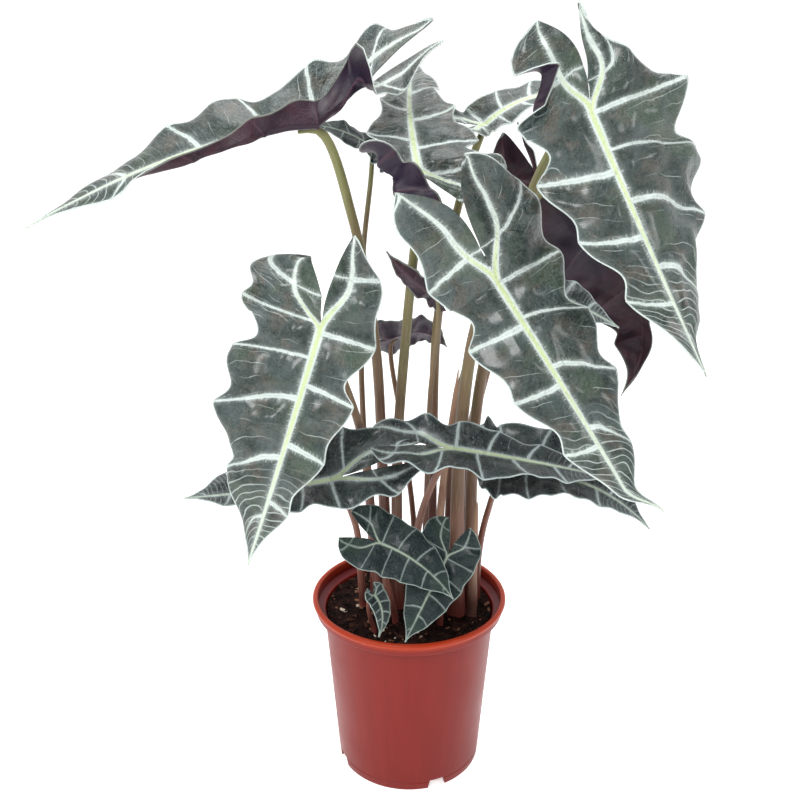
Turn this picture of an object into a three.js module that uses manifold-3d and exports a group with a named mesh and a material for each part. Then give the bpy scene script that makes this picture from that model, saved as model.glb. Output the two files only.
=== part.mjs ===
// A potted alocasia: a tapered plastic nursery pot filled with soil, with leaves on long stalks that
// rise from corms just under the surface. Millimetres, +Z up. The origin is the centre of the pot's
// base, on the surface that the pot stands on, and -Y is the plant's front.
import * as THREE from "three";
import { mergeVertices } from "three/addons/utils/BufferGeometryUtils.js";
import Module from "manifold-3d";

const wasm = await Module();
wasm.setup();

// Pot
const POT_HEIGHT = 161;
const RIM_RADIUS = 85;
const WALL_TOP_RADIUS = 74.8;
const BASE_RADIUS = 63.7;
const WALL = 1.6;
const RIM_DROP = 12; // height of the collar under the lip
const FLOOR_UNDERSIDE = 4;
const FLOOR_TOP = 6;
const PAD_RADIUS = 16; // the flat pad in the middle of the base
const POT_SEGMENTS = 48;
const NOTCH_COUNT = 4;
const NOTCH_WIDTH = 17;
const NOTCH_HEIGHT = 8.5;
const NOTCH_TURN = -67.5;
const DRAIN_COUNT = 6;
const DRAIN_RADIUS = 4;
const DRAIN_CIRCLE = 38;

// Soil and corms
const GAP = 0.35;
const SOIL_EDGE = 147;
const SOIL_MIDDLE = 151;
const STALK_FOOT = 130;
const CORM_HEIGHT = 34;

// Blades and stalks
const BLADE = 1.2;
const RIB_PAIRS = 4; // side veins on each half, forward of the stalk
const LOBE_RIBS = 1.5; // side veins on each back lobe
const SINUS_START = 0.12; // share of the lobes' length over which the two halves stay joined
const DRIP_WIDTH = 0.9; // half width of the blade at its very tip
const CREASE = 5; // half the width over which a strip folds over
const FLAP_FADE = 0.12; // share of the blade's length over which a folded strip ends
const CURVE_STEPS = 24; // steps in which the curve across half a blade is followed
const STALK_SIDES = 4; // per half turn
const STALK_STEPS = 10;

// One entry for each leaf. Points are [x, y, z]. attach is where the stalk meets the blade, bend pulls
// the midrib between attach and tip, and lobeEnd is where the slit between the two back lobes ends.
// Pairs hold a value for the blade's left and right half, seen from the stalk towards the tip with the
// upper side up. fold is in degrees, at the stalk and at the tip, with more at the lobes by lobeFold.
// flaps are strips along the margin that fold over and show the underside. span is where along the
// blade they start and end (-1 lobe end, 0 stalk, 1 tip). hinge is the crease's distance from the
// midrib as a share of the width, and turn its angle in degrees, both at the span's two ends.
const LEAVES = {
  left_high: {
    attach: [-69, -30, 562],
    bend: [-160, -50, 557],
    tip: [-270, -80, 496],
    lobeEnd: [20, 40, 630],
    face: [0.1, -0.45, 0.9],
    tipFace: [-0.2, -0.5, 0.85],
    halfWidth: [32, 45],
    spread: [18, 12],
    fold: [[10, -25], [25, -20]],
    lobeFold: [-20, -25],
    curl: [10, 0],
    lobeEdge: [[6, 0.45], [3, 0.8]],
    ripple: [0, 0],
    wave: 6,
    flaps: [{ side: 0, span: [-0.3, 0.6], hinge: [0.1, 0.72], turn: [120, 100] }],
    foot: [-18, 6],
    stalk: [[-22, -2, 260], [-28, -12, 396], [-44, -20, 494]],
    radii: [5.8, 3.4],
  },
  crown: {
    attach: [5, -40, 534],
    bend: [-6, 20, 580],
    tip: [4, 110, 606],
    lobeEnd: [20, -66, 498],
    face: [0, -0.55, 0.83],
    halfWidth: [50, 58],
    spread: [4, 36],
    fold: [[5, 0], [5, 0]],
    belly: [-0.4, -0.3],
    flaps: [{ side: 0, span: [-0.95, -0.02], hinge: [0.4, 0.6], turn: [110, 100] }],
    foot: [-10, -8],
    stalk: [[-10, -7, 300], [-2, -14, 416], [5, -30, 498]],
    radii: [5.6, 3.4],
  },
  centre: {
    attach: [61, -90, 459],
    bend: [108, -125, 390],
    tip: [163, -150, 302],
    lobeEnd: [18, -108, 541],
    face: [0.1, -0.88, 0.45],
    halfWidth: [54, 43],
    spread: [20, 34],
    fold: [[-5, 0], [-5, 0]],
    curl: [-10, -10],
    sinusPower: 4,
    hook: -16,
    lobeEdge: [[3.5, 0.5], [6, 0.5]],
    foot: [41, -14],
    stalk: [[40, -18, 259], [41, -25, 322], [48, -48, 410]],
    radii: [7.5, 4.2],
  },
  right_high: {
    attach: [119, -90, 574],
    bend: [154, -112, 497],
    tip: [198, -140, 407],
    lobeEnd: [108, -70, 642],
    face: [0.1, -0.88, 0.45],
    halfWidth: [78, 52],
    spread: [2, 28],
    fold: [[-5, -45], [-5, 0]],
    curl: [-10, -10],
    sinusPower: 3,
    lobeEdge: [[1, 1.6], [3.5, 0.5]],
    belly: [0.2, 0],
    flaps: [{ side: 1, span: [-0.62, -0.22], hinge: [0.6, 0.72], turn: [110, 100] }],
    foot: [54, 0],
    stalk: [[55, 0, 329], [75, -2, 450], [99, -50, 545]],
    radii: [6, 3.6],
  },
  left_front: {
    attach: [-65, -95, 425],
    bend: [-90, -118, 345],
    tip: [-121, -120, 253],
    lobeEnd: [-53, -80, 489],
    face: [-0.1, -0.88, 0.45],
    halfWidth: [41, 62],
    spread: [12, 16],
    reach: [1.08, 0.74],
    fold: [[-5, 0], [-5, 0]],
    curl: [-10, -10],
    sinusPower: 2,
    lobeEdge: [[2.5, 0.7], [7, 0.45]],
    belly: [0, 0.2],
    foot: [-26, -12],
    stalk: [[-32, -12, 237], [-38, -30, 317], [-53, -62, 385]],
    radii: [5, 3],
  },
  low_right: {
    attach: [35, -60, 322],
    bend: [101, -62, 312],
    tip: [164, -60, 296],
    lobeEnd: [-30, -55, 327],
    face: [0, -0.15, 1],
    halfWidth: [22, 32],
    spread: [10, 10],
    fold: [[45, 15], [0, 0]],
    wave: 4,
    notch: 0.12,
    foot: [4, -28],
    stalk: [[4, -32, 205], [8, -38, 250], [20, -48, 292]],
    radii: [4, 2.6],
  },
  low_back: {
    attach: [77, -36, 290],
    bend: [144, -46, 302],
    tip: [188, -72, 259],
    lobeEnd: [54, -40, 299],
    face: [0, -0.1, 1],
    halfWidth: [40, 36],
    spread: [8, 8],
    fold: [[60, 10], [0, 5]],
    wave: 4,
    notch: 0.12,
    foot: [60, 14],
    stalk: [[61, 8, 193], [66, -8, 241]],
    radii: [3.8, 2.4],
  },
  low_left: {
    attach: [-62, -62, 297],
    bend: [-122, -85, 295],
    tip: [-166, -110, 304],
    lobeEnd: [8, -50, 313],
    face: [0, -0.3, 0.95],
    halfWidth: [26, 40],
    spread: [6, 10],
    fold: [[-20, 5], [45, 0]],
    lobeFold: [0, 20],
    lobeEdge: [[3.5, 0.5], [1.5, 1]],
    wave: 4,
    foot: [-40, -4],
    stalk: [[-41, -14, 175], [-44, -34, 240], [-53, -50, 277]],
    radii: [3.8, 2.4],
  },
  right_back: {
    attach: [106, 20, 508],
    bend: [235, 40, 411],
    tip: [176, 10, 341],
    lobeEnd: [79, 10, 563],
    face: [0.3, 0.85, 0.4],
    halfWidth: [54, 24],
    spread: [12, 12],
    fold: [[-20, 0], [-60, -40]],
    foot: [44, 14],
    stalk: [[50, 17, 290], [67, 24, 369], [89, 22, 450]],
    radii: [5.4, 3.4],
  },
  top_back: {
    attach: [62, 75, 555],
    bend: [99, 85, 590],
    tip: [169, 105, 576],
    lobeEnd: [32, 74, 554],
    face: [0, -0.6, 0.8],
    halfWidth: [24, 16],
    spread: [12, 14],
    fold: [[0, 0], [10, 0]],
    wave: 4,
    notch: 0.1,
    foot: [20, 10],
    stalk: [[20, 16, 309], [24, 34, 406], [42, 58, 498]],
    radii: [5.4, 3.2],
  },
  mid_back: {
    attach: [83, -45, 452],
    bend: [119, -45, 438],
    tip: [158, -45, 415],
    lobeEnd: [52, -42, 460],
    face: [0, -0.6, 0.8],
    halfWidth: [26, 22],
    spread: [6, 8],
    fold: [[0, 0], [0, 0]],
    wave: 4,
    notch: 0.1,
    foot: [34, 2],
    stalk: [[38, 4, 314], [50, -16, 390]],
    radii: [5, 3],
  },
  small_back: {
    attach: [-15, 55, 378],
    bend: [14, 60, 391],
    tip: [33, 60, 369],
    lobeEnd: [-49, 50, 375],
    face: [0, 0.7, 0.7],
    halfWidth: [24, 30],
    spread: [6, 6],
    fold: [[0, 0], [0, 0]],
    wave: 3,
    notch: 0.1,
    foot: [6, 14],
    stalk: [[4, 20, 221], [-6, 38, 301]],
    radii: [3.2, 2],
  },
  folded_back: {
    attach: [19, -34, 437],
    bend: [-1, -40, 450],
    tip: [-18, -38, 472],
    lobeEnd: [29, -34, 426],
    face: [0.2, 0.8, 0.4],
    halfWidth: [12, 14],
    spread: [3, 3],
    fold: [[0, 0], [20, 0]],
    wave: 2,
    notch: 0.1,
    foot: [12, -10],
    stalk: [[14, -12, 250], [16, -22, 350]],
    radii: [3, 1.8],
  },
  left_back: {
    attach: [-31, 60, 539],
    bend: [-56, 50, 557],
    tip: [-87, 40, 558],
    lobeEnd: [-16, 60, 524],
    face: [0, -0.5, 0.86],
    halfWidth: [16, 16],
    spread: [6, 6],
    fold: [[0, 0], [0, 0]],
    wave: 3,
    notch: 0.1,
    foot: [-31, 14],
    stalk: [[-38, 16, 288], [-40, 12, 376], [-38, 36, 457]],
    radii: [3.2, 2],
  },
  young_left: {
    attach: [-22, -85, 253],
    bend: [11, -100, 247],
    tip: [33, -105, 216],
    lobeEnd: [-51, -80, 266],
    face: [0, -0.75, 0.66],
    halfWidth: [24, 24],
    spread: [12, 10],
    fold: [[0, 0], [0, 0]],
    wave: 1,
    notch: 0.06,
    foot: [-12, -30],
    stalk: [[-15, -38, 176], [-20, -58, 214]],
    radii: [2.8, 1.6],
  },
  young_right: {
    attach: [29, -70, 232],
    bend: [12, -85, 203],
    tip: [-4, -90, 168],
    lobeEnd: [38, -62, 260],
    face: [0, -0.8, 0.6],
    halfWidth: [24, 24],
    spread: [10, 8],
    fold: [[0, 0], [0, 0]],
    wave: 1,
    notch: 0.06,
    foot: [26, -34],
    stalk: [[28, -38, 174], [29, -48, 203]],
    radii: [2.8, 1.6],
  },
  bud: {
    attach: [-28, -75, 201],
    bend: [-18, -78, 188],
    tip: [-25, -80, 166],
    lobeEnd: [-32, -73, 209],
    face: [0.4, -0.8, 0.3],
    halfWidth: [9, 9],
    spread: [3, 3],
    fold: [[20, 0], [20, 0]],
    wave: 0.5,
    notch: 0.04,
    foot: [-30, -44],
    stalk: [[-33, -50, 166], [-34, -62, 186]],
    radii: [2.2, 1.4],
  },
};

const SMALL_BLADES = ["small_back", "left_back", "folded_back", "young_left", "young_right", "bud"];

const CORMS = {
  corm_left: { centre: [-25, 0], radius: 18 },
  corm_middle: { centre: [10, 12], radius: 10 },
  corm_right: { centre: [47, 1], radius: 17 },
  corm_front: { centre: [-4, -29], radius: 10 },
};

// Dry sheaths that stand beside the stalks: foot, a point on the way and top, then half width at each end.
const SHEATHS = {
  sheath_tall: { route: [[28, -12, 153], [26, -20, 250], [38, -42, 385]], radii: [5, 2.2], turn: 200 },
  sheath_left: { route: [[-18, -20, 153], [-20, -22, 190], [-22, -24, 235]], radii: [5, 2], turn: 200 },
  sheath_right: { route: [[54, -16, 153], [55, -18, 200], [56, -18, 262]], radii: [5.5, 2], turn: 200 },
};

const MATERIALS = {
  pot: { color: 0x9a3d2c, roughness: 0.45, metalness: 0 },
  soil: { color: 0x2a1a14, roughness: 0.95, metalness: 0 },
  corm: { color: 0x5a3b26, roughness: 0.8, metalness: 0 },
  blade: { color: 0x2c3f38, roughness: 0.3, metalness: 0 },
  stalk: { color: 0x7d6a45, roughness: 0.5, metalness: 0 },
  sheath: { color: 0x8d7350, roughness: 0.8, metalness: 0 },
};

function vector(point) {
  return new THREE.Vector3(...point);
}

function clamp01(value) {
  return Math.min(1, Math.max(0, value));
}

function degrees(angle) {
  return (angle * Math.PI) / 180;
}

function between([start, end], t) {
  return start + (end - start) * t;
}

function smoothstep(low, high, value) {
  const t = clamp01((value - low) / (high - low));
  return t * t * (3 - 2 * t);
}

// Share of the half width that is left at a place along the margin: full where a side vein ends.
function scallop(place, depth) {
  const turn = 2 * Math.PI * place;
  return 1 - depth * (0.5 - 0.5 * Math.cos(turn + 0.5 * Math.sin(turn)));
}

// along runs from -1 at the ends of the back lobes, through 0 at the stalk, to 1 at the drip tip.
function outerEdge(leaf, side, along) {
  const width = leaf.halfWidth[side];
  const depth = leaf.notch ?? 0.22;
  const shift = (leaf.ripple ?? [0, 0.35])[side];
  if (along >= 0) {
    const taper = 1.12 * (1 - along) ** 1.05 * (0.9 + along) * (1 - 0.45 * smoothstep(0.75, 0.97, along));
    const ripple = scallop(RIB_PAIRS * along + shift, depth * Math.min(1, 3 * (1 - along)));
    const belly = 1 + (leaf.belly ?? [0, 0])[side] * Math.sin(Math.PI * along);
    return Math.max(DRIP_WIDTH, width * taper * belly * ripple);
  }
  const back = -along;
  const [bulge, power] = (leaf.lobeEdge ?? [[3.5, 0.5], [3.5, 0.5]])[side];
  const ripple = scallop(shift - LOBE_RIBS * back, 0.7 * depth);
  const base = width * (1.01 + 0.08 * Math.sin(Math.PI * back)) * ripple;
  const spread = leaf.spread[side];
  return Math.max(DRIP_WIDTH, spread + (base - spread) * clamp01(1 - back ** bulge) ** power);
}

function innerEdge(leaf, side, along) {
  if (along >= -SINUS_START) return 0;
  const back = (-along - SINUS_START) / (1 - SINUS_START);
  return Math.max(GAP, leaf.spread[side] * back ** (leaf.sinusPower ?? 1.5));
}

// The midrib's point with its forward, upper and right-hand directions.
function ribFrame(leaf, side, along) {
  const [attach, bend, tip, lobeEnd] = [leaf.attach, leaf.bend, leaf.tip, leaf.lobeEnd].map(vector);
  const t = clamp01(along);
  const forward = bend.clone().sub(attach).multiplyScalar(1 - t);
  forward.addScaledVector(tip.clone().sub(bend), t).normalize();
  const up = vector(leaf.face).normalize().multiplyScalar(1 - t);
  up.addScaledVector(vector(leaf.tipFace ?? leaf.face).normalize(), t);
  up.addScaledVector(forward, -up.dot(forward)).normalize();
  const right = forward.clone().cross(up);
  const at = new THREE.QuadraticBezierCurve3(attach, bend, tip).getPoint(t);
  if (along < 0) at.addScaledVector(lobeEnd.sub(attach), -along * (leaf.reach ?? [1, 1])[side]);
  at.addScaledVector(right, (leaf.hook ?? 0) * smoothstep(0.86, 1, along) * t);
  return { at, forward, up, right };
}

// How far the blade is turned up from flat at a distance from the midrib, with its folded strips.
function turnedAt(leaf, side, along, distance, outer) {
  const lobe = (leaf.lobeFold ?? [0, 0])[side] * clamp01(-along);
  const curl = ((leaf.curl ?? [0, 0])[side] * distance) / leaf.halfWidth[side];
  let turned = between(leaf.fold[side], clamp01(along)) + lobe + curl;
  for (const flap of (leaf.flaps ?? []).filter((each) => each.side === side)) {
    const [start, end] = flap.span;
    const t = clamp01((along - start) / (end - start));
    const opens = smoothstep(start - FLAP_FADE, start, along);
    const closes = 1 - smoothstep(end, end + FLAP_FADE, along);
    const hinge = between(flap.hinge, t) * outer;
    turned += between(flap.turn, t) * opens * closes * smoothstep(hinge - CREASE, hinge + CREASE, distance);
  }
  return degrees(turned);
}

// across runs from 0 at the midrib, or at the slit between the lobes, to 1 at the margin.
function bladePoint(leaf, side, along, across) {
  const { at, up, right } = ribFrame(leaf, side, along);
  const width = leaf.halfWidth[side];
  const inner = innerEdge(leaf, side, along);
  const outer = Math.max(outerEdge(leaf, side, along), inner + DRIP_WIDTH);
  const distance = inner + (outer - inner) * across;
  const step = distance / CURVE_STEPS;
  let out = 0;
  let rise = 0;
  for (let i = 0; i < CURVE_STEPS; i++) {
    const turned = turnedAt(leaf, side, along, (i + 0.5) * step, outer);
    out += step * Math.cos(turned);
    rise += step * Math.sin(turned);
  }
  const swing = Math.sin(2 * Math.PI * (0.5 * RIB_PAIRS * along + 0.37 * side));
  rise += (leaf.wave ?? 5) * (distance / width) ** 2 * swing * Math.min(1, 3 * (1 - along));
  return at.addScaledVector(right, side ? out : -out).addScaledVector(up, rise);
}

// The blade's upper surface: two grids, one for each half, welded along the midrib.
function bladeSurface(leaf, lobeRows, mainRows, columns) {
  const rows = [];
  for (let i = 0; i < lobeRows; i++) rows.push(-1 + ((1 - SINUS_START) * i) / lobeRows);
  for (let i = 0; i <= mainRows; i++) rows.push(-SINUS_START + ((1 + SINUS_START) * i) / mainRows);
  const positions = [];
  const index = [];
  for (const side of [0, 1]) {
    const first = positions.length / 3;
    for (const along of rows)
      for (let k = 0; k <= columns; k++) positions.push(...bladePoint(leaf, side, along, k / columns));
    for (let r = 0; r < rows.length - 1; r++)
      for (let k = 0; k < columns; k++) {
        const a = first + r * (columns + 1) + k;
        const b = a + 1;
        const c = a + columns + 1;
        const d = c + 1;
        index.push(...(side ? [a, b, d, a, d, c] : [a, d, b, a, c, d]));
      }
  }
  const geometry = new THREE.BufferGeometry();
  geometry.setAttribute("position", new THREE.Float32BufferAttribute(positions, 3));
  geometry.setIndex(index);
  return mergeVertices(geometry, 0.01);
}

// Turns an open surface into a closed sheet that reaches above it and below it.
function thicken(surface, above, below) {
  surface.computeVertexNormals();
  const { position, normal } = surface.attributes;
  const index = [...surface.index.array];
  const count = position.count;
  const positions = [];
  for (const lift of [above, -below])
    for (let i = 0; i < count; i++) {
      const point = new THREE.Vector3().fromBufferAttribute(position, i);
      positions.push(...point.addScaledVector(new THREE.Vector3().fromBufferAttribute(normal, i), lift));
    }
  const edges = new Set();
  const closed = [];
  for (let i = 0; i < index.length; i += 3) {
    const [a, b, c] = index.slice(i, i + 3);
    closed.push(a, b, c, c + count, b + count, a + count);
    for (const [from, to] of [[a, b], [b, c], [c, a]]) edges.add(`${from} ${to}`);
  }
  for (const edge of edges) {
    const [from, to] = edge.split(" ").map(Number);
    if (!edges.has(`${to} ${from}`)) closed.push(to, from, from + count, to, from + count, to + count);
  }
  const sheet = new THREE.BufferGeometry();
  sheet.setAttribute("position", new THREE.Float32BufferAttribute(positions, 3));
  sheet.setIndex(closed);
  return sheet;
}

function bladeGeometry(name, clearance = 0) {
  const [lobeRows, mainRows, columns] = SMALL_BLADES.includes(name) ? [3, 7, 2] : [4, 11, 3];
  return thicken(bladeSurface(LEAVES[name], lobeRows, mainRows, columns), clearance, BLADE + clearance);
}

// Extrudes a section of unit size along a curve, then scales each step about the curve.
function sweep(section, curve, steps, sides, radiusAt) {
  const geometry = new THREE.ExtrudeGeometry(section, { steps, curveSegments: sides, extrudePath: curve });
  const centres = curve.getSpacedPoints(steps);
  const position = geometry.attributes.position;
  for (let i = 0; i < position.count; i++) {
    const point = new THREE.Vector3().fromBufferAttribute(position, i);
    const gaps = centres.map((centre) => centre.distanceTo(point));
    const nearest = gaps.indexOf(Math.min(...gaps));
    point.sub(centres[nearest]).multiplyScalar(radiusAt(nearest / steps)).add(centres[nearest]);
    position.setXYZ(i, point.x, point.y, point.z);
  }
  return geometry;
}

function stalkGeometry(leaf, clearance = 0) {
  const { at, up } = ribFrame(leaf, 0, 0);
  const [x, y] = leaf.foot;
  const [footRadius, topRadius] = leaf.radii;
  const end = at.addScaledVector(up, -topRadius);
  const route = [[x, y, STALK_FOOT], [x, y, SOIL_MIDDLE], ...leaf.stalk].map(vector);
  const curve = new THREE.CatmullRomCurve3([...route, end], false, "centripetal");
  const circle = new THREE.Shape().absarc(0, 0, 1, 0, 2 * Math.PI);
  const radiusAt = (t) => clearance + footRadius + (topRadius - footRadius) * t ** 0.6;
  return sweep(circle, curve, STALK_STEPS, STALK_SIDES, radiusAt);
}

function sheathGeometry({ route, radii, turn }) {
  const [footRadius, topRadius] = radii;
  const curve = new THREE.CatmullRomCurve3(route.map(vector), false, "centripetal");
  const crescent = new THREE.Shape();
  const start = degrees(turn);
  const span = degrees(130);
  crescent.absarc(0, 0, 1, start, start + span);
  crescent.absarc(0, 0, 0.82, start + span, start, true);
  return sweep(crescent, curve, 6, 5, (t) => footRadius + (topRadius - footRadius) * t);
}

function asSolid(geometry) {
  const bare = geometry.clone();
  for (const name of ["normal", "uv"]) bare.deleteAttribute(name);
  const merged = mergeVertices(bare, 0.001);
  return new wasm.Manifold(
    new wasm.Mesh({
      numProp: 3,
      vertProperties: merged.attributes.position.array,
      triVerts: new Uint32Array(merged.index.array),
    }),
  );
}

function asGeometry(solid) {
  const { vertProperties, triVerts } = solid.getMesh();
  const geometry = new THREE.BufferGeometry();
  geometry.setAttribute("position", new THREE.BufferAttribute(vertProperties, 3));
  geometry.setIndex(new THREE.BufferAttribute(triVerts, 1));
  geometry.computeVertexNormals();
  return geometry;
}

function cut(geometry, tools) {
  return asGeometry(tools.reduce((solid, tool) => solid.subtract(asSolid(tool)), asSolid(geometry)));
}

function lathe(profile, segments) {
  const points = profile.map(([radius, height]) => new THREE.Vector2(radius, height));
  return new THREE.LatheGeometry(points, segments).rotateX(Math.PI / 2);
}

function potShell() {
  const collar = POT_HEIGHT - RIM_DROP;
  const inside = WALL_TOP_RADIUS - WALL;
  return lathe(
    [
      [0, 0],
      [PAD_RADIUS, 0],
      [PAD_RADIUS + 1.5, FLOOR_UNDERSIDE],
      [BASE_RADIUS - 4, FLOOR_UNDERSIDE],
      [BASE_RADIUS - 3, 0],
      [BASE_RADIUS - 0.6, 0],
      [BASE_RADIUS, 0.8],
      [WALL_TOP_RADIUS, collar - 3],
      [WALL_TOP_RADIUS + 0.7, collar - 0.6],
      [RIM_RADIUS - 2.6, collar],
      [RIM_RADIUS - 2.2, collar + 6.5],
      [RIM_RADIUS - 0.6, collar + 8],
      [RIM_RADIUS, collar + 9.8],
      [RIM_RADIUS - 0.7, collar + 11.4],
      [RIM_RADIUS - 2.4, POT_HEIGHT],
      [RIM_RADIUS - 4, collar + 11.2],
      [RIM_RADIUS - 4.4, collar + 1.8],
      [inside + 0.8, collar - 0.6],
      [inside, collar - 3],
      [BASE_RADIUS - WALL + 0.2, FLOOR_TOP + 2],
      [BASE_RADIUS - WALL - 2, FLOOR_TOP],
      [0, FLOOR_TOP],
    ],
    POT_SEGMENTS,
  );
}

// A tapered notch through the foot ring, which lets water out from under the pot.
function notchTool(angle) {
  const half = NOTCH_WIDTH / 2;
  const outline = new THREE.Shape([
    new THREE.Vector2(-half - 0.25, -1),
    new THREE.Vector2(half + 0.25, -1),
    new THREE.Vector2(half - 2, NOTCH_HEIGHT),
    new THREE.Vector2(2 - half, NOTCH_HEIGHT),
  ]);
  const tool = new THREE.ExtrudeGeometry(outline, { depth: 12, bevelEnabled: false });
  tool.rotateX(Math.PI / 2).translate(0, BASE_RADIUS + 4, 0);
  return tool.rotateZ(angle - Math.PI / 2);
}

function drainTool(angle) {
  const tool = new THREE.CylinderGeometry(DRAIN_RADIUS, DRAIN_RADIUS, 2 * FLOOR_TOP, 12);
  return tool.rotateX(Math.PI / 2).translate(DRAIN_CIRCLE, 0, FLOOR_TOP).rotateZ(angle);
}

function ring(count, tool, start = 0) {
  return Array.from({ length: count }, (_, i) => tool(degrees(start) + (2 * Math.PI * i) / count));
}

function potGeometry() {
  const tools = [...ring(NOTCH_COUNT, notchTool, NOTCH_TURN), ...ring(DRAIN_COUNT, drainTool)];
  return cut(potShell(), tools);
}

// A corm is a rounded tuber with a flat crown, where its stalks begin.
function cormGeometry({ centre, radius }, clearance = 0) {
  const top = STALK_FOOT - GAP + clearance;
  const bottom = STALK_FOOT - GAP - CORM_HEIGHT * (radius / 18) - clearance;
  const swell = radius + clearance;
  const height = top - bottom;
  const profile = [
    [0, bottom],
    [0.55 * swell, bottom + 0.08 * height],
    [0.92 * swell, bottom + 0.34 * height],
    [swell, bottom + 0.64 * height],
    [0.86 * swell, top],
    [0, top],
  ];
  return lathe(profile, 12).translate(...centre, 0);
}

function soilGeometry() {
  const inside = WALL_TOP_RADIUS - WALL - GAP;
  const body = lathe(
    [
      [0, FLOOR_TOP + GAP],
      [BASE_RADIUS - WALL - 2.6, FLOOR_TOP + GAP],
      [BASE_RADIUS - WALL - 0.4, FLOOR_TOP + 2.4],
      [inside, POT_HEIGHT - RIM_DROP - 3],
      [inside - 0.6, SOIL_EDGE],
      [0.8 * inside, 0.4 * SOIL_EDGE + 0.6 * SOIL_MIDDLE],
      [0.4 * inside, SOIL_MIDDLE - 0.4],
      [0, SOIL_MIDDLE],
    ],
    POT_SEGMENTS,
  );
  const stalks = Object.values(LEAVES).map((leaf) => stalkGeometry(leaf, GAP));
  const corms = Object.values(CORMS).map((corm) => cormGeometry(corm, GAP));
  return cut(body, [...stalks, ...corms]);
}

function part(name, geometry, look) {
  const mesh = new THREE.Mesh(geometry, new THREE.MeshStandardMaterial(MATERIALS[look]));
  mesh.name = name;
  return mesh;
}

const plant = new THREE.Group();
plant.add(part("pot", potGeometry(), "pot"));
plant.add(part("soil", soilGeometry(), "soil"));
for (const [name, corm] of Object.entries(CORMS)) plant.add(part(name, cormGeometry(corm), "corm"));
for (const [name, sheath] of Object.entries(SHEATHS)) plant.add(part(name, sheathGeometry(sheath), "sheath"));
for (const [name, leaf] of Object.entries(LEAVES)) {
  plant.add(part(`blade_${name}`, bladeGeometry(name), "blade"));
  plant.add(part(`stalk_${name}`, cut(stalkGeometry(leaf), [bladeGeometry(name, GAP)]), "stalk"));
}

export default plant;
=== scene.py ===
"""A potted alocasia: its visible pieces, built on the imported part's places.

The table of leaves is in millimetres, as in the part's source. Meshes are made in metres. +Z is up and
-Y is the plant's front.
"""

import math
import random

import bmesh
import bpy
from mathutils import Matrix, Vector, noise


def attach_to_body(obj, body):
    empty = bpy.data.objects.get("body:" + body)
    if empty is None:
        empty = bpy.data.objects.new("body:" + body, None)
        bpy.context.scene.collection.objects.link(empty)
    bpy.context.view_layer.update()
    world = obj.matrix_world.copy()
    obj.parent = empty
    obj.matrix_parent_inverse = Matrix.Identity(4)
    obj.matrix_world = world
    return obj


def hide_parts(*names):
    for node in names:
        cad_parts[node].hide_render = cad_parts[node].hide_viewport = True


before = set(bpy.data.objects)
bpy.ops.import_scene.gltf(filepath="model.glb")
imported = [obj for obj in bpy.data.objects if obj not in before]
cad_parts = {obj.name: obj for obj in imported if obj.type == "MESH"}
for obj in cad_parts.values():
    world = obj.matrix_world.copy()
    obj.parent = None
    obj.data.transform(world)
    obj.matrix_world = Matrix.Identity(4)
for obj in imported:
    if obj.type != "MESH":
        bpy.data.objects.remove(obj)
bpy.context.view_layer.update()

MM = 0.001
FULL_TURN = 2 * math.pi

# Pot and soil
POT_HEIGHT = 161
RIM_RADIUS = 85
WALL_TOP_RADIUS = 74.8
BASE_RADIUS = 63.7
WALL = 1.6
COLLAR = 149  # where the wall flares out into the collar
FLOOR_UNDERSIDE = 4
FLOOR_TOP = 6
PAD_RADIUS = 16
NOTCH_COUNT = 4
NOTCH_WIDTH = 17
NOTCH_HEIGHT = 8.5
NOTCH_TURN = -67.5
DRAIN_COUNT = 6
DRAIN_RADIUS = 4
DRAIN_CIRCLE = 38
SOIL_EDGE = 147
SOIL_MIDDLE = 151
STALK_FOOT = 130
CRUMB_COUNT = 900
CRUMB_REACH = 71
FIT_GAP = 0.35  # between the soil and the pot

# Blades and stalks
BLADE = 0.7
KEEL = 2.6  # how thick the blade is along its midrib
RIB_PAIRS = 4  # side veins on each half, forward of the stalk
LOBE_RIBS = 1.5  # side veins on each back lobe
SINUS_START = 0.12  # share of the lobes' length over which the two halves stay joined
DRIP_WIDTH = 0.6  # half width of the blade at its very tip
SECTION_STEPS = 36
BLADE_GRID = (44, 112, 34)  # rows on the back lobes, rows forward of them, columns on each half
SMALL_BLADE_GRID = (14, 44, 14)
COLUMN_CROWDING = 1.2  # over 1, columns are closer together near the midrib
CREASE = 5  # half the width over which a strip folds over
FLAP_FADE = 0.12  # share of the blade's length over which a folded strip ends

# What most leaves share, then each leaf's own values. Points are (x, y, z). Pairs hold a value for the
# left and right half, seen from the stalk towards the tip with the upper side up.
# attach is where the stalk meets the blade, and bend pulls the midrib between there and the tip.
# lobe_end ends the slit between the back lobes, spread is half its width there, and sinus_power shapes
# it. reach is each lobe's share of the full length, and hook is how far the very tip turns aside.
# face and tip_face are where the upper side looks, at the stalk and at the tip.
# fold is in degrees, at the stalk and at the tip, with lobe_fold more at the lobes and curl more at the
# margin. belly widens the middle by a share, and lobe_edge is a lobe outline's bulge and power.
# slant is how far forward the side veins run, as a share of the midrib, and ripple moves them along.
# wave is the height of the big waves at the margin, and notch the depth of its scallops as a share.
# flaps are strips of the margin that fold over: which half, start and end (-1 lobe end, 0 stalk,
# 1 tip), and at both of them the crease's share of the width and the turn in degrees.
USUAL_LEAF = dict(
    reach=(1, 1), hook=0, fold=((0, 0), (0, 0)), lobe_fold=(0, 0), curl=(0, 0), belly=(0, 0),
    sinus_power=1.5, slant=(0.07, 0.07), lobe_edge=((3.5, 0.5), (3.5, 0.5)), wave=5, notch=0.22,
    ripple=(0, 0.35), flaps=(),
)
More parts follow.
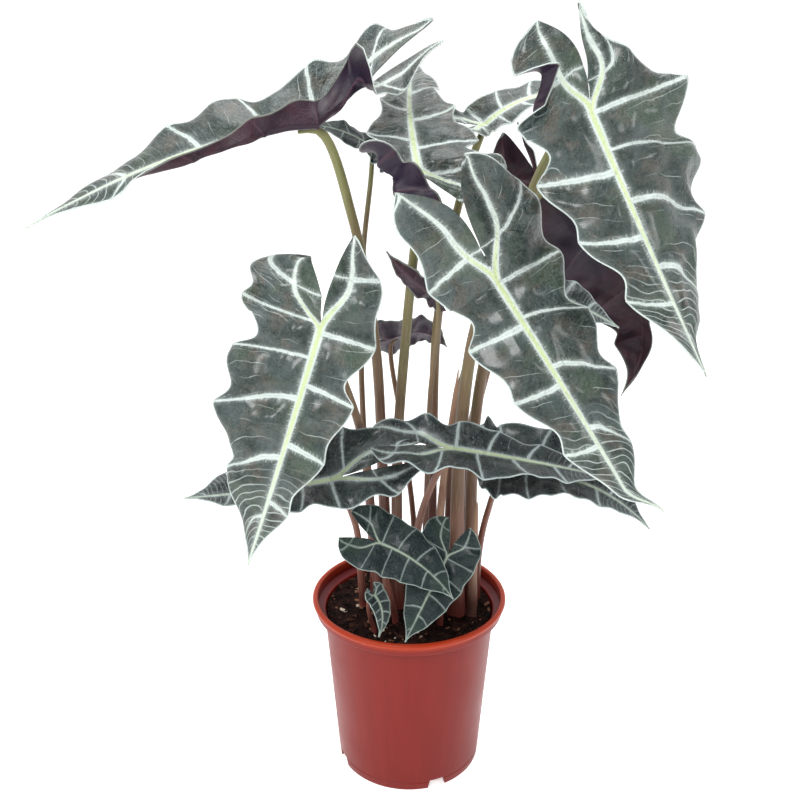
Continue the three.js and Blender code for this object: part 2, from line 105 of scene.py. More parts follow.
LEAVES = {
    "left_high": dict(
        attach=(-69, -30, 562), bend=(-160, -50, 557), tip=(-270, -80, 496), lobe_end=(20, 40, 630),
        face=(0.1, -0.45, 0.9), tip_face=(-0.2, -0.5, 0.85), half_width=(32, 45), spread=(18, 12),
        fold=((10, -25), (25, -20)), lobe_fold=(-20, -25), curl=(10, 0), lobe_edge=((6, 0.45), (3, 0.8)),
        wave=6, ripple=(0, 0), flaps=((0, -0.3, 0.6, (0.1, 0.72), (150, 120)),),
        foot=(-18, 6), stalk=((-22, -2, 260), (-28, -12, 396), (-44, -20, 494)), radii=(5.8, 3.4),
    ),
    "crown": dict(
        attach=(5, -40, 534), bend=(-6, 20, 580), tip=(4, 110, 606), lobe_end=(20, -66, 498),
        face=(0, -0.55, 0.83), half_width=(50, 58), spread=(4, 36),
        fold=((5, 0), (5, 0)), belly=(-0.4, -0.3), flaps=((0, -0.95, -0.02, (0.4, 0.6), (160, 130)),),
        foot=(-10, -8), stalk=((-10, -7, 300), (-2, -14, 416), (5, -30, 498)), radii=(5.6, 3.4),
    ),
    "centre": dict(
        attach=(61, -90, 459), bend=(108, -125, 390), tip=(163, -150, 302), lobe_end=(18, -108, 541),
        face=(0.1, -0.88, 0.45), half_width=(54, 43), spread=(20, 34), hook=-16,
        fold=((-5, 0), (-5, 0)), curl=(-10, -10), sinus_power=4, slant=(0.13, -0.03),
        lobe_edge=((3.5, 0.5), (6, 0.5)),
        foot=(41, -14), stalk=((40, -18, 259), (41, -25, 322), (48, -48, 410)), radii=(7.5, 4.2),
    ),
    "right_high": dict(
        attach=(119, -90, 574), bend=(154, -112, 497), tip=(198, -140, 407), lobe_end=(108, -70, 642),
        face=(0.1, -0.88, 0.45), half_width=(78, 52), spread=(2, 28),
        fold=((-5, -45), (-5, 0)), curl=(-10, -10), belly=(0.2, 0), sinus_power=3, slant=(0.15, -0.07),
        lobe_edge=((1, 1.6), (3.5, 0.5)), flaps=((1, -0.5, -0.24, (0.68, 0.75), (165, 150)),),
        foot=(54, 0), stalk=((55, 0, 329), (75, -2, 450), (99, -50, 545)), radii=(6, 3.6),
    ),
    "left_front": dict(
        attach=(-65, -95, 425), bend=(-90, -118, 345), tip=(-121, -120, 253), lobe_end=(-53, -80, 489),
        face=(-0.1, -0.88, 0.45), half_width=(41, 62), spread=(12, 16), reach=(1.08, 0.74),
        fold=((-5, 0), (-5, 0)), curl=(-10, -10), belly=(0, 0.2), sinus_power=2, slant=(0.03, 0.13),
        lobe_edge=((2.5, 0.7), (5, 0.5)),
        foot=(-26, -12), stalk=((-32, -12, 237), (-38, -30, 317), (-53, -62, 385)), radii=(5, 3),
    ),
    "low_right": dict(
        attach=(35, -60, 322), bend=(101, -62, 312), tip=(164, -60, 296), lobe_end=(-30, -55, 327),
        face=(0, -0.15, 1), half_width=(22, 32), spread=(10, 10),
        fold=((45, 15), (0, 0)), wave=4, notch=0.12,
        foot=(4, -28), stalk=((4, -32, 205), (8, -38, 250), (20, -48, 292)), radii=(4, 2.6),
    ),
    "low_back": dict(
        attach=(77, -36, 290), bend=(144, -46, 302), tip=(188, -72, 259), lobe_end=(54, -40, 299),
        face=(0, -0.1, 1), half_width=(40, 36), spread=(8, 8),
        fold=((60, 10), (0, 5)), wave=3, notch=0.07,
        foot=(60, 14), stalk=((61, 8, 193), (66, -8, 241)), radii=(3.8, 2.4),
    ),
    "low_left": dict(
        attach=(-62, -62, 297), bend=(-122, -85, 295), tip=(-166, -110, 304), lobe_end=(8, -50, 313),
        face=(0, -0.3, 0.95), half_width=(26, 40), spread=(6, 10),
        fold=((-20, 5), (45, 0)), lobe_fold=(0, 20), lobe_edge=((3.5, 0.5), (1.5, 1)), wave=4, notch=0.12,
        foot=(-40, -4), stalk=((-41, -14, 175), (-44, -34, 240), (-53, -50, 277)), radii=(3.8, 2.4),
    ),
    "right_back": dict(
        attach=(106, 20, 508), bend=(235, 40, 411), tip=(176, 10, 341), lobe_end=(79, 10, 563),
        face=(0.3, 0.85, 0.4), half_width=(54, 24), spread=(12, 12),
        fold=((-20, 0), (-60, -40)),
        foot=(44, 14), stalk=((50, 17, 290), (67, 24, 369), (89, 22, 450)), radii=(5.4, 3.4),
    ),
    "top_back": dict(
        attach=(62, 75, 555), bend=(99, 85, 590), tip=(169, 105, 576), lobe_end=(32, 74, 554),
        face=(0, -0.6, 0.8), half_width=(24, 16), spread=(12, 14),
        fold=((0, 0), (10, 0)), wave=4, notch=0.1,
        foot=(20, 10), stalk=((20, 16, 309), (24, 34, 406), (42, 58, 498)), radii=(5.4, 3.2),
    ),
    "mid_back": dict(
        attach=(83, -45, 452), bend=(119, -45, 438), tip=(158, -45, 415), lobe_end=(52, -42, 460),
        face=(0, -0.6, 0.8), half_width=(26, 22), spread=(6, 8),
        wave=4, notch=0.1,
        foot=(34, 2), stalk=((38, 4, 314), (50, -16, 390)), radii=(5, 3),
    ),
    "small_back": dict(
        attach=(-15, 55, 378), bend=(14, 60, 391), tip=(33, 60, 369), lobe_end=(-49, 50, 375),
        face=(0, 0.7, 0.7), half_width=(24, 30), spread=(6, 6),
        wave=3, notch=0.1,
        foot=(6, 14), stalk=((4, 20, 221), (-6, 38, 301)), radii=(3.2, 2),
    ),
    "folded_back": dict(
        attach=(19, -34, 437), bend=(-1, -40, 450), tip=(-18, -38, 472), lobe_end=(29, -34, 426),
        face=(0.2, 0.8, 0.4), half_width=(12, 14), spread=(3, 3),
        fold=((0, 0), (20, 0)), wave=2, notch=0.1,
        foot=(12, -10), stalk=((14, -12, 250), (16, -22, 350)), radii=(3, 1.8),
    ),
    "left_back": dict(
        attach=(-31, 60, 539), bend=(-56, 50, 557), tip=(-87, 40, 558), lobe_end=(-16, 60, 524),
        face=(0, -0.5, 0.86), half_width=(16, 16), spread=(6, 6),
        wave=3, notch=0.1,
        foot=(-31, 14), stalk=((-38, 16, 288), (-40, 12, 376), (-38, 36, 457)), radii=(3.2, 2),
    ),
    "young_left": dict(
        attach=(-22, -85, 253), bend=(11, -100, 247), tip=(33, -105, 216), lobe_end=(-51, -80, 266),
        face=(0, -0.75, 0.66), half_width=(24, 24), spread=(12, 10),
        wave=1, notch=0.06,
        foot=(-12, -30), stalk=((-15, -38, 176), (-20, -58, 214)), radii=(2.8, 1.6),
    ),
    "young_right": dict(
        attach=(29, -70, 232), bend=(12, -85, 203), tip=(-4, -90, 168), lobe_end=(38, -62, 260),
        face=(0, -0.8, 0.6), half_width=(24, 24), spread=(10, 8),
        wave=1, notch=0.06,
        foot=(26, -34), stalk=((28, -38, 174), (29, -48, 203)), radii=(2.8, 1.6),
    ),
    "bud": dict(
        attach=(-28, -75, 201), bend=(-18, -78, 188), tip=(-25, -80, 166), lobe_end=(-32, -73, 209),
        face=(0.4, -0.8, 0.3), half_width=(9, 9), spread=(3, 3),
        fold=((20, 0), (20, 0)), wave=0.5, notch=0.04,
        foot=(-30, -44), stalk=((-33, -50, 166), (-34, -62, 186)), radii=(2.2, 1.4),
    ),
}

YOUNG = ("young_left", "young_right", "bud")
SMALL = ("small_back", "left_back", "folded_back") + YOUNG
# the lower leaves: their upper sides get the darker low look, painted shade for leaves lying under the
# others
SHADED_LOW = ("low_right", "low_back", "low_left", "mid_back")

# Dry sheaths beside the stalks: foot, a point on the way and top, then half width at each end.
SHEATHS = {
    "sheath_tall": dict(route=((28, -12, 145), (26, -20, 250), (38, -42, 385)), radii=(5, 2.2)),
    "sheath_left": dict(route=((-18, -20, 145), (-20, -22, 190), (-22, -24, 235)), radii=(5, 2)),
    "sheath_right": dict(route=((54, -16, 145), (55, -18, 200), (56, -18, 262)), radii=(5.5, 2)),
}


# -------- numbers


def clamp(value, low=0.0, high=1.0):
    return min(high, max(low, value))


def ease(low, high, value):
    t = clamp((value - low) / (high - low))
    return t * t * (3 - 2 * t)


def between(start, end, t):
    return start + (end - start) * t


# -------- the blade's shape


def scallop(place, depth):
    """Share of the half width that is left along the margin: full where a side vein ends."""
    number = math.floor(place)
    uneven = 1 + 0.35 * math.sin(2.4 * number + 9 * depth)
    return 1 - depth * uneven * math.sin(math.pi * (place - number) ** 1.7) ** 1.4


def outer_edge(leaf, side, along):
    """Margin's distance from the midrib. along is -1 at the lobes' ends, 0 at the stalk, 1 at the tip."""
    width = leaf["half_width"][side]
    depth = leaf["notch"]
    shift = leaf["ripple"][side]
    if along >= 0:
        taper = 1.12 * (1 - along) ** 1.05 * (0.9 + along) * (1 - 0.45 * ease(0.75, 0.97, along))
        belly = 1 + leaf["belly"][side] * math.sin(math.pi * along)
        ripple = scallop(RIB_PAIRS * along + shift, depth * min(1, 3 * (1 - along)))
        return max(DRIP_WIDTH, width * taper * belly * ripple)
    back = -along
    bulge, power = leaf["lobe_edge"][side]
    base = width * (1.01 + 0.08 * math.sin(math.pi * back)) * scallop(shift - LOBE_RIBS * back, 0.7 * depth)
    spread = leaf["spread"][side]
    return max(DRIP_WIDTH, spread + (base - spread) * clamp(1 - back**bulge) ** power)


def inner_edge(leaf, side, along):
    if along >= -SINUS_START:
        return 0
    back = (-along - SINUS_START) / (1 - SINUS_START)
    return max(0.35, leaf["spread"][side] * back ** leaf["sinus_power"])


class Row:
    """One line across half a blade: where it starts, its directions and how far it reaches."""

    def __init__(self, leaf, side, along):
        attach, bend, tip, lobe_end = (Vector(leaf[k]) for k in ("attach", "bend", "tip", "lobe_end"))
        self.leaf, self.side, self.along = leaf, side, along
        self.sign = 1 if side else -1
        self.half_width = leaf["half_width"][side]
        t = clamp(along)
        back = clamp(-along)
        self.forward = ((bend - attach) * (1 - t) + (tip - bend) * t).normalized()
        face = Vector(leaf["face"]).normalized()
        tip_face = Vector(leaf.get("tip_face", leaf["face"])).normalized()
        up = face * (1 - t) + tip_face * t
        self.up = (up - self.forward * up.dot(self.forward)).normalized()
        self.right = self.forward.cross(self.up)
        self.at = attach * (1 - t) ** 2 + bend * (2 * t * (1 - t)) + tip * t**2
        reach = leaf["reach"][side]
        self.at += (lobe_end - attach) * (back * reach)
        self.at += self.right * (leaf["hook"] * ease(0.86, 1, along) * t)
        self.midrib_length = (bend - attach).length + (tip - bend).length
        self.lobe_length = (lobe_end - attach).length * reach
        self.run = t * self.midrib_length - back * self.lobe_length
        self.inner = inner_edge(leaf, side, along)
        self.outer = max(outer_edge(leaf, side, along), self.inner + DRIP_WIDTH)
        self.rib = self.inner + (self.outer - self.inner) * 0.36 * ease(0, 0.5, back)
        start, end = leaf["fold"][side]
        self.fold = math.radians(between(start, end, t) + leaf["lobe_fold"][side] * back)
        self.curl = math.radians(leaf["curl"][side])
        self.tip_fade = min(1, 3 * (1 - along))
        self.profile = self.cross_section()

    def distance(self, across):
        return between(self.inner, self.outer, across)

    def rib_place(self, across):
        """Whole where a side vein runs. Side veins slant forward from the midrib to the margin."""
        lean = self.leaf["slant"][self.side] * (1 - across**1.7)
        shift = self.leaf["ripple"][self.side]
        if self.along >= 0:
            return RIB_PAIRS * (self.along + lean * ease(0, 0.25, self.along)) + shift
        return shift - LOBE_RIBS * (-self.along + 3 * lean * ease(0, 0.4, -self.along))

    def rib_spacing(self):
        return self.midrib_length / RIB_PAIRS if self.along >= 0 else self.lobe_length / LOBE_RIBS

    def relief(self, across):
        """Height of the fine shape: tissue quilted between veins, a ruffled margin and a soft unevenness."""
        size = self.half_width / 50
        place = self.rib_place(across)
        gap = abs(self.distance(across) - self.rib)
        quilt = 2.8 * size * abs(math.sin(math.pi * place)) ** 0.8 * ease(1, 12, gap) * (1 - across**4)
        seed = Vector((self.run / 21, self.sign * self.distance(across) / 17, self.at.z / 40))
        uneven = 3 * size * noise.noise(seed) * ease(0, 0.3, across)
        ruffle = 1.6 * size * across**5 * math.sin(FULL_TURN * (1.5 * place + 0.3))
        return self.tip_fade * (quilt + uneven + ruffle)

    def turned(self, distance):
        """How far the blade is turned up from flat, this far from the midrib, folded strips included."""
        total = self.fold + self.curl * distance / self.half_width
        for side, start, end, hinges, turns in self.leaf["flaps"]:
            if side != self.side:
                continue
            t = clamp((self.along - start) / (end - start))
            opens = ease(start - FLAP_FADE, start, self.along)
            closes = 1 - ease(end, end + FLAP_FADE, self.along)
            hinge = between(*hinges, t) * self.outer
            turn = math.radians(between(*turns, t)) * opens * closes
            total += turn * ease(hinge - CREASE, hinge + CREASE, distance)
        return total

    def cross_section(self):
        """Evenly spaced places across the half blade: how far out and up each is, and how far turned."""
        step = self.outer / SECTION_STEPS
        out = rise = 0.0
        places = [(out, rise, self.turned(0))]
        for number in range(SECTION_STEPS):
            middle = self.turned((number + 0.5) * step)
            out += math.cos(middle) * step
            rise += math.sin(middle) * step
            places.append((out, rise, self.turned((number + 1) * step)))
        return places

    def keel(self, across):
        """How much of the keel's thickness is here, 0 to 1: most on the midrib, less on side veins."""
        rib_place = self.rib_place(across)
        offset = abs(rib_place - round(rib_place)) * self.rib_spacing()
        main = 1 - ease(0, 2.6, abs(self.distance(across) - self.rib))
        aside = 0.45 * (1 - ease(0, 2, offset)) * (1 - across)
        return clamp(max(main * (1 - 0.8 * abs(self.along)), aside))

    def point(self, across):
        distance = self.distance(across)
        spot = SECTION_STEPS * distance / self.outer
        number = min(int(spot), SECTION_STEPS - 1)
        before, after = self.profile[number], self.profile[number + 1]
        out, rise, turned = (between(a, b, spot - number) for a, b in zip(before, after))
        swing = math.sin(FULL_TURN * (0.5 * RIB_PAIRS * self.along + 0.37 * self.side))
        rise += self.leaf["wave"] * (distance / self.half_width) ** 2 * swing * self.tip_fade
        outward = self.right * self.sign
        normal = self.up * math.cos(turned) - outward * math.sin(turned)
        return self.at + outward * out + self.up * rise + normal * self.relief(across)


# -------- mesh helpers


def add_object(name, data):
    made = bpy.data.objects.new(name, data)
    bpy.context.scene.collection.objects.link(made)
    return made


def as_object(mesh_maker, name, smooth=True):
    """Turns a bmesh into an object that sits at the origin."""
    mesh = bpy.data.meshes.new(name)
    mesh_maker.to_mesh(mesh)
    mesh_maker.free()
    for face in mesh.polygons:
        face.use_smooth = smooth
    return add_object(name, mesh)


def add_piece(made, node, slot, *materials):
    """Hangs a finished piece on the part's root, hides the node it stands for, if any, and adds its
    materials. slot is not used.
    """
    for material in materials:
        made.data.materials.append(material)
    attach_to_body(made, "root")
    if node:
        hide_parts(node)


def through(points, count):
    """Evenly spaced points on a smooth curve through the given points."""
    ends = [points[0] * 2 - points[1], *points, points[-1] * 2 - points[-2]]
    dense = []
    for p0, p1, p2, p3 in zip(ends, ends[1:], ends[2:], ends[3:]):
        t1 = (p1 - p0).length ** 0.5
        t2 = t1 + (p2 - p1).length ** 0.5
        t3 = t2 + (p3 - p2).length ** 0.5
        for i in range(24):
            t = between(t1, t2, i / 24)
            middle = p1.lerp(p2, (t - t1) / (t2 - t1))
            before = p0.lerp(p1, t / t1).lerp(middle, t / t2)
            after = middle.lerp(p2.lerp(p3, (t - t2) / (t3 - t2)), (t - t1) / (t3 - t1))
            dense.append(before.lerp(after, (t - t1) / (t2 - t1)))
    dense.append(points[-1].copy())
    reached = [0.0]
    for a, b in zip(dense, dense[1:]):
        reached.append(reached[-1] + (b - a).length)
    places = []
    step = 0
    for i in range(count + 1):
        target = reached[-1] * i / count
        while step < len(dense) - 2 and reached[step + 1] < target:
            step += 1
        share = (target - reached[step]) / (reached[step + 1] - reached[step])
        places.append(dense[step].lerp(dense[step + 1], share))
    return places


def stations(places, aside=Vector((1, 0, 0))):
    """Frames along a route that don't twist: place, and two directions across it."""
    made = []
    last = len(places) - 1
    for i, place in enumerate(places):
        ahead = (places[min(i + 1, last)] - places[max(i - 1, 0)]).normalized()
        aside = (aside - ahead * aside.dot(ahead)).normalized()
        made.append((place, aside, ahead.cross(aside)))
    return made


# -------- leaves


def blade_mesh(leaf, lobe_rows, main_rows, columns):
    """A grid shaped into a blade, slit between its lobes, with maps of where its veins run."""
    rows = lobe_rows + main_rows
    bm = bmesh.new()
    bmesh.ops.create_grid(bm, x_segments=2 * columns, y_segments=rows, size=1)

    def grid_place(vert):
        return round((vert.co.x + 1) * columns) - columns, round((vert.co.y + 1) * rows / 2)

    def in_slit(vert):
        column, row = grid_place(vert)
        return column == 0 and row <= lobe_rows

    bmesh.ops.split_edges(bm, edges=[e for e in bm.edges if all(map(in_slit, e.verts))])

    def along_at(row):
        if row <= lobe_rows:
            return between(-1, -SINUS_START, row / lobe_rows)
        return between(-SINUS_START, 1, (row - lobe_rows) / main_rows)

    lines = {(side, row): Row(leaf, side, along_at(row)) for side in (0, 1) for row in range(rows + 1)}
    flat, ribs, edge, place = (bm.loops.layers.uv.new(name) for name in ("flat", "ribs", "edge", "place"))
    keel = bm.verts.layers.deform.verify()
    moved = {}
    for loop in [loop for face in bm.faces for loop in face.loops]:
        column, row = grid_place(loop.vert)
        line = lines[int(loop.face.calc_center_median().x > 0), row]
        across = (abs(column) / columns) ** COLUMN_CROWDING
        distance = line.distance(across)
        loop[flat].uv = (line.sign * distance, line.run)
        loop[ribs].uv = (line.rib_place(across), line.rib_spacing())
        loop[edge].uv = (line.outer - distance, distance - line.rib)
        loop[place].uv = (across, line.along)
        if loop.vert not in moved:
            moved[loop.vert] = line.point(across) * MM
            loop.vert[keel][0] = line.keel(across)
    for vert, spot in moved.items():
        vert.co = spot
    return bm


def make_leaf_blade(name, leaf, upper, under):
    grid = SMALL_BLADE_GRID if name in SMALL else BLADE_GRID
    blade = as_object(blade_mesh(leaf, *grid), f"leaf_{name}")
    blade.vertex_groups.new(name="keel")
    wall = blade.modifiers.new("thickness", "SOLIDIFY")
    scale = 0.5 if name in SMALL else 1
    wall.thickness = KEEL * scale * MM
    wall.offset = -1
    wall.vertex_group = "keel"
    wall.thickness_vertex_group = BLADE / (KEEL * scale)
    wall.material_offset = 1
    wall.material_offset_rim = 0
    add_piece(blade, f"blade_{name}", "leaf_blade", upper, under)


def tube(places, radii, sides):
    """A closed round tube along a route, with its own map: round it, then along it in millimetres."""
    bm = bmesh.new()
    frames = stations(places)
    ring = bmesh.ops.create_circle(bm, cap_ends=True, segments=sides, radius=1)["verts"]
    directions = [v.co.to_2d() for v in ring]
    around = bm.loops.layers.uv.new("round")
    length = 0

    def move_ring(verts, frame_at, radius):
        centre, aside, beside = frame_at
        for vert, direction in zip(verts, directions):
            vert.co = (centre + (aside * direction.x + beside * direction.y) * radius) * MM

    move_ring(ring, frames[0], radii[0])
    rim = list(bm.edges)
    for step in range(1, len(frames)):
        grown = bmesh.ops.extrude_edge_only(bm, edges=rim)["geom"]
        kinds = (bmesh.types.BMVert, bmesh.types.BMEdge, bmesh.types.BMFace)
        new_verts, new_edges, new_faces = ([g for g in grown if isinstance(g, kind)] for kind in kinds)
        rim = [e for e in new_edges if all(v in new_verts for v in e.verts)]
        above = {e.other_vert(v): v for v in new_verts for e in v.link_edges}
        new_ring = [above[v] for v in ring]
        stretch = (places[step] - places[step - 1]).length
        for face in new_faces:
            numbers = [ring.index(v) if v in ring else new_ring.index(v) for v in face.verts]
            wraps = max(numbers) - min(numbers) > 1
            for loop, number in zip(face.loops, numbers):
                turn = sides if wraps and number == 0 else number
                loop[around].uv = (turn / sides, length + (0 if loop.vert in ring else stretch))
        length += stretch
        move_ring(new_ring, frames[step], radii[step])
        ring = new_ring
    bmesh.ops.contextual_create(bm, geom=rim)
    bmesh.ops.recalc_face_normals(bm, faces=bm.faces)
    return bm


def make_leaf_stalk(name, leaf, material):
    """The stalk rises from its corm, widens into a clasping base and runs out into the midrib's keel."""
    first = Row(leaf, 0, 0)
    further = Row(leaf, 0, 0.07)
    foot_radius, top_radius = leaf["radii"]
    x, y = leaf["foot"]
    end = first.at - first.up * (top_radius + 3 * BLADE) - first.forward * top_radius
    run_out = further.at - further.up * (0.7 * top_radius + 3 * BLADE)
    rise = [(x, y, STALK_FOOT), (x, y, SOIL_MIDDLE), *leaf["stalk"]]
    route = [*map(Vector, rise), end, run_out]
    count = 30 if name in YOUNG else 64
    places = through(route, count)
    radii = []
    for i, place in enumerate(places):
        t = i / count
        radius = between(foot_radius, top_radius, t**0.6)
        radius *= 1 + 0.22 * math.exp(-max(0, place.z - SOIL_MIDDLE) / 22)
        radius *= 1 + 0.03 * noise.noise(place / 30)
        radii.append(between(radius, 0.35 * top_radius, ease(0.955, 1, t)))
    stalk = as_object(tube(places, radii, 10 if name in YOUNG else 16), f"petiole_{name}")
    add_piece(stalk, f"stalk_{name}", "leaf_stalk", material)


def make_sheath(name, route, radii, material):
    """A papery crescent round the stalks, torn along its top."""
    rows, columns = 40, 14
    places = through([Vector(p) for p in route], rows)
    frames = stations(places)
    bm = bmesh.new()
    bmesh.ops.create_grid(bm, x_segments=columns, y_segments=rows, size=1)
    around = bm.loops.layers.uv.new("round")
    for face in bm.faces:
        for loop in face.loops:
            x, y = loop.vert.co.xy
            loop[around].uv = (0.36 * x, 100 * y)
    for vert in bm.verts:
        across, up = vert.co.x, (vert.co.y + 1) / 2
        torn = 1 - 0.16 * abs(noise.noise(Vector((across * 3.1, 0, len(name))))) - 0.1 * across**2
        spot = clamp(up * torn) * rows
        step = min(int(spot), rows - 1)
        centre = places[step].lerp(places[step + 1], spot - step)
        _, aside, beside = frames[step]
        radius = between(*radii, up) * (1 + 0.08 * noise.noise(Vector((across * 2, up * 6, 1))))
        angle = math.radians(265 + 65 * across)
        vert.co = (centre + (aside * math.cos(angle) + beside * math.sin(angle)) * radius) * MM
    sheath = as_object(bm, f"dry_{name}")
    wall = sheath.modifiers.new("thickness", "SOLIDIFY")
    wall.thickness = 0.5 * MM
    wall.offset = -1
    add_piece(sheath, name, "sheath", material)


# -------- pot and soil


def arc(centre_radius, centre_height, radius, start, end, count):
    """Points of a rounded edge, as (radius, height) pairs. Angles are in degrees."""
    points = []
    for i in range(count + 1):
        angle = math.radians(between(start, end, i / count))
        points.append((centre_radius + radius * math.cos(angle), centre_height + radius * math.sin(angle)))
    return points


def spun(profile, steps):
    """Spins a profile of (radius, height) pairs, in millimetres, about the upright axis."""
    bm = bmesh.new()
    verts = [bm.verts.new((radius * MM, 0, height * MM)) for radius, height in profile]
    edges = [bm.edges.new(pair) for pair in zip(verts, verts[1:])]
    axis = dict(axis=(0, 0, 1), cent=(0, 0, 0))
    bmesh.ops.spin(bm, geom=verts + edges, steps=steps, angle=FULL_TURN, use_merge=True, **axis)
    bmesh.ops.remove_doubles(bm, verts=bm.verts, dist=0.01 * MM)
    bmesh.ops.recalc_face_normals(bm, faces=bm.faces)
    return bm


def pot_profile():
    inside = WALL_TOP_RADIUS - WALL
    lip = RIM_RADIUS - 2.5
    return [
        (0, 0), (PAD_RADIUS, 0), (PAD_RADIUS + 1.5, FLOOR_UNDERSIDE),
        (BASE_RADIUS - 4, FLOOR_UNDERSIDE), (BASE_RADIUS - 3, 0),
        *arc(BASE_RADIUS - 1, 0.8, 0.8, -90, 0, 3),
        (BASE_RADIUS + 0.35, 6.6), (BASE_RADIUS + 0.05, 6.9),
        (BASE_RADIUS + 0.1, 7.6), (BASE_RADIUS + 0.5, 7.9),
        (WALL_TOP_RADIUS, COLLAR - 3),
        *arc(WALL_TOP_RADIUS + 2, COLLAR - 2, 2, 180, 90, 4),
        *arc(RIM_RADIUS - 3.6, COLLAR + 1, 1, -90, 0, 3),
        (lip, COLLAR + 6),
        *arc(lip, POT_HEIGHT - 2.6, 2.5, -60, 150, 12),
        (RIM_RADIUS - 4.7, COLLAR + 6), (RIM_RADIUS - 4.9, COLLAR + 2),
        *arc(inside + 2.6, COLLAR - 1.6, 2.2, 90, 180, 4),
        (inside, COLLAR - 6),
        (BASE_RADIUS - WALL + 0.2, FLOOR_TOP + 2), (BASE_RADIUS - WALL - 2, FLOOR_TOP), (0, FLOOR_TOP),
    ]


def pot_cutters():
    """Tapered blocks for the notches in the foot and short rods for the drain holes."""
    bm = bmesh.new()
    for i in range(NOTCH_COUNT):
        turn = Matrix.Rotation(math.radians(NOTCH_TURN) + FULL_TURN * i / NOTCH_COUNT, 4, "Z")
        block = bmesh.ops.create_cube(bm, size=1)["verts"]
        for vert in block:
            half = NOTCH_WIDTH / 2 if vert.co.z < 0 else NOTCH_WIDTH / 2 - 2
            x = BASE_RADIUS + 12 * vert.co.x
            z = -1 if vert.co.z < 0 else NOTCH_HEIGHT
            vert.co = turn @ (Vector((x, math.copysign(half, vert.co.y), z)) * MM)
    for i in range(DRAIN_COUNT):
        angle = FULL_TURN * i / DRAIN_COUNT
        spot = Vector((math.cos(angle), math.sin(angle), 0)) * DRAIN_CIRCLE + Vector((0, 0, FLOOR_TOP))
        rod = dict(radius1=DRAIN_RADIUS * MM, radius2=DRAIN_RADIUS * MM, depth=2 * FLOOR_TOP * MM)
        place = Matrix.Translation(spot * MM)
        bmesh.ops.create_cone(bm, cap_ends=True, segments=24, matrix=place, **rod)
    return bm


def make_pot(material):
    pot = as_object(spun(pot_profile(), 144), "nursery_pot")
    tools = as_object(pot_cutters(), "pot_cutters")
    cut = pot.modifiers.new("notches", "BOOLEAN")
    cut.operation = "DIFFERENCE"
    cut.solver = "EXACT"
    cut.object = tools
    depsgraph = bpy.context.evaluated_depsgraph_get()
    pot.data = bpy.data.meshes.new_from_object(pot.evaluated_get(depsgraph))
    pot.data.name = "nursery_pot"
    pot.modifiers.clear()
    bpy.data.objects.remove(tools)
    pot.data.set_sharp_from_angle(angle=math.radians(40))
    add_piece(pot, "pot", "pot_plastic", material)


def soil_height(x, y):
    """Top of the soil at a place, in millimetres: a low mound, with clods and a dip here and there."""
    mound = between(SOIL_MIDDLE, SOIL_EDGE, min(1, math.hypot(x, y) / 72) ** 1.5)
    clods = 1.6 * noise.noise(Vector((x / 9, y / 9, 0))) + 0.9 * noise.noise(Vector((x / 4, y / 4, 5)))
    return mound + clods


def make_soil(material):
    inside = WALL_TOP_RADIUS - WALL - FIT_GAP
    top = [(inside - 0.3 - 1.5 * i, SOIL_EDGE) for i in range(int(inside / 1.5))]
    profile = [
        (0, FLOOR_TOP + FIT_GAP),
        (BASE_RADIUS - WALL - 2.6, FLOOR_TOP + FIT_GAP),
        (BASE_RADIUS - WALL - 0.4, FLOOR_TOP + 2.4),
        (inside - 0.6, COLLAR - 8),
        *top,
        (0, SOIL_EDGE),
    ]
    bm = spun(profile, 160)
    for vert in bm.verts:
        if vert.co.z > (SOIL_EDGE - 0.5) * MM:
            vert.co.z = soil_height(vert.co.x / MM, vert.co.y / MM) * MM
    soil = as_object(bm, "potting_soil")
    add_piece(soil, "soil", "soil", material)


def make_crumbs(material):
    """Loose bits on the soil: peat, bark fibres and a few pale grains, each a small roughened lump."""
    dice = random.Random(11)
    bm = bmesh.new()
    tone = bm.verts.layers.float.new("tone")
    for _ in range(CRUMB_COUNT):
        angle = dice.uniform(0, FULL_TURN)
        reach = CRUMB_REACH * dice.random() ** 0.5
        x, y = reach * math.cos(angle), reach * math.sin(angle)
        size = dice.uniform(0.5, 1.1) + 1.5 * dice.random() ** 5
        stretch = dice.choice((1, 1, 1.4, 2.6))
        place = Matrix.Translation(Vector((x, y, soil_height(x, y) + 0.3 * size)) * MM)
        turn = Matrix.Rotation(dice.uniform(0, FULL_TURN), 4, "Z")
        tilt = Matrix.Rotation(dice.uniform(-0.5, 0.5), 4, "X")
        shape = Matrix.Diagonal((stretch * size * MM, size * MM, 0.7 * size * MM, 1))
        placed = place @ turn @ tilt @ shape
        lump = bmesh.ops.create_icosphere(bm, subdivisions=1, radius=1, matrix=placed)["verts"]
        shade = dice.random()
        for vert in lump:
            vert.co += Vector([dice.uniform(-0.18, 0.18) for _ in range(3)]) * size * MM
            vert[tone] = shade
    add_piece(as_object(bm, "soil_crumbs", smooth=False), None, "soil", material)


# -------- materials


